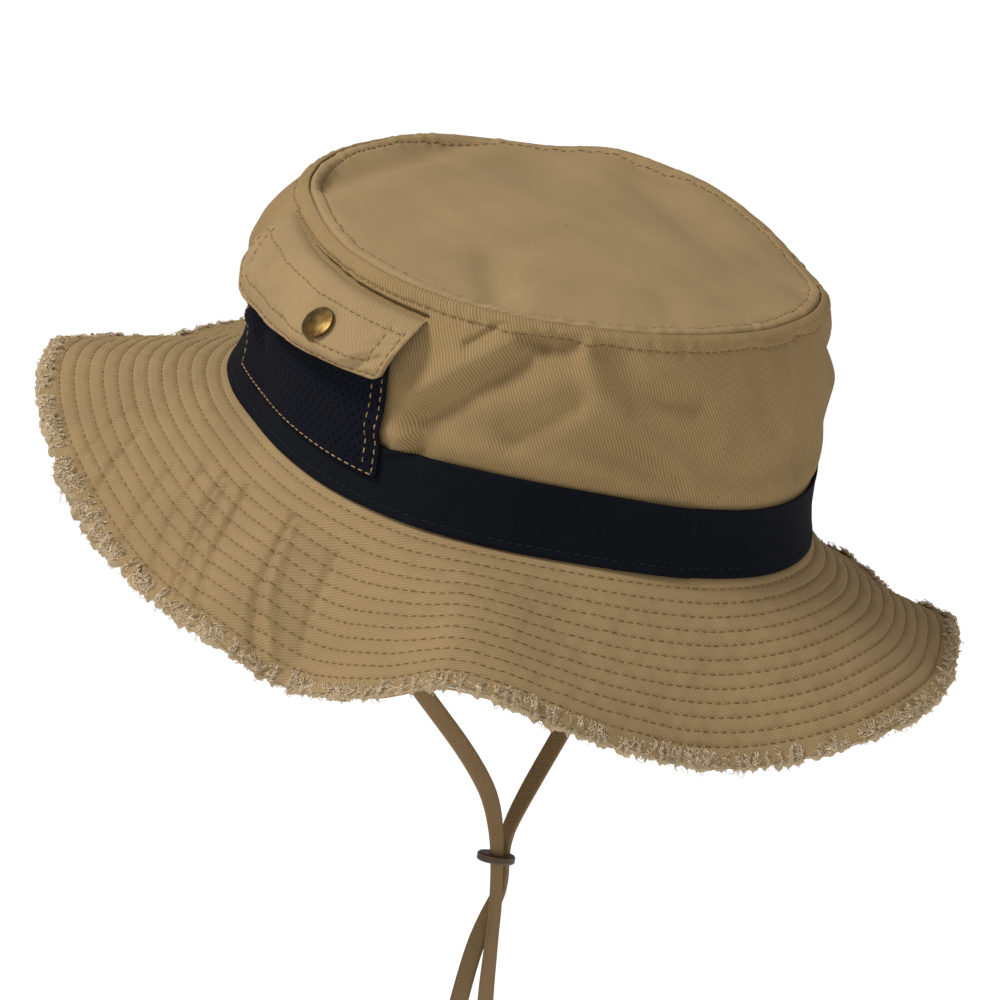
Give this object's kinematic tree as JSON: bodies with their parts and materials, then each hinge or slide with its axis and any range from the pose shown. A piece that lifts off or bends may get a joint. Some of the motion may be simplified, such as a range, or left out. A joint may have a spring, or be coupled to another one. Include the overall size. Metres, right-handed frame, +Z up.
{
  "type": "boonie hat",
  "caption": "Wide-brimmed soft bucket hat: stitched brim with frayed edge, dark hatband, mesh side pocket under a snapped flap, and a chin cord with slide.",
  "frame": {"origin": "centre of the head opening, at the foot of the crown, as the hat sits tipped on a head", "axes": "+Z straight up as worn, along the plumb line of the chin cord; -Y to the wearer's front, +X to the wearer's left"},
  "size_m": [0.2756, 0.3014, 0.3862],
  "materials": {
    "twill": "matt khaki cotton twill, diagonal weave",
    "twill_tape": "matt khaki cotton tape",
    "navy_twill": "matt dark navy cotton twill",
    "sweatband_cotton": "soft cotton twill, matt",
    "interlining": "stiff woven interlining, unseen",
    "frayed_twill": "raw-edged twill strip with loose threads",
    "navy_mesh": "dark navy knitted mesh",
    "antique_brass": "aged brass, low sheen",
    "cord_tape": "woven twill tape, matt",
    "slide_leather": "dark brown leather, worn edge"
  },
  "bodies": {
    "hat": {"crown_tip": "twill", "crown_sidewall": "twill", "tip_seam_tape": "twill_tape", "hatband": "navy_twill", "sweatband": "sweatband_cotton", "brim_upper": "twill", "brim_interlining": "interlining", "brim_lower": "twill", "brim_edge_binding": "frayed_twill", "pocket_mesh": "navy_mesh", "pocket_top_hem": "navy_twill", "pocket_flap_seam": "twill", "snap_stud": "antique_brass", "snap_post": "antique_brass", "cord_anchor_left": "twill_tape", "cord_anchor_right": "twill_tape", "chin_cord": "cord_tape"},
    "flap": {"pocket_flap_outer": "twill", "pocket_flap_lining": "twill", "snap_cap": "antique_brass", "snap_socket": "antique_brass"},
    "slide": {"cord_slide": "slide_leather"}
  },
  "joints": [
    {"name": "pocket_flap_hinge", "type": "hinge", "parent": "hat", "child": "flap", "pos_m": [0.09389, 0.0224, 0.05988], "axis": [-0.0919, -0.9417, 0.3236], "range_deg": [0, 150]},
    {"name": "cord_slide_travel", "type": "slide", "parent": "hat", "child": "slide", "axis": [0, 0, -1], "range_m": [0, 0.006]}
  ]
}
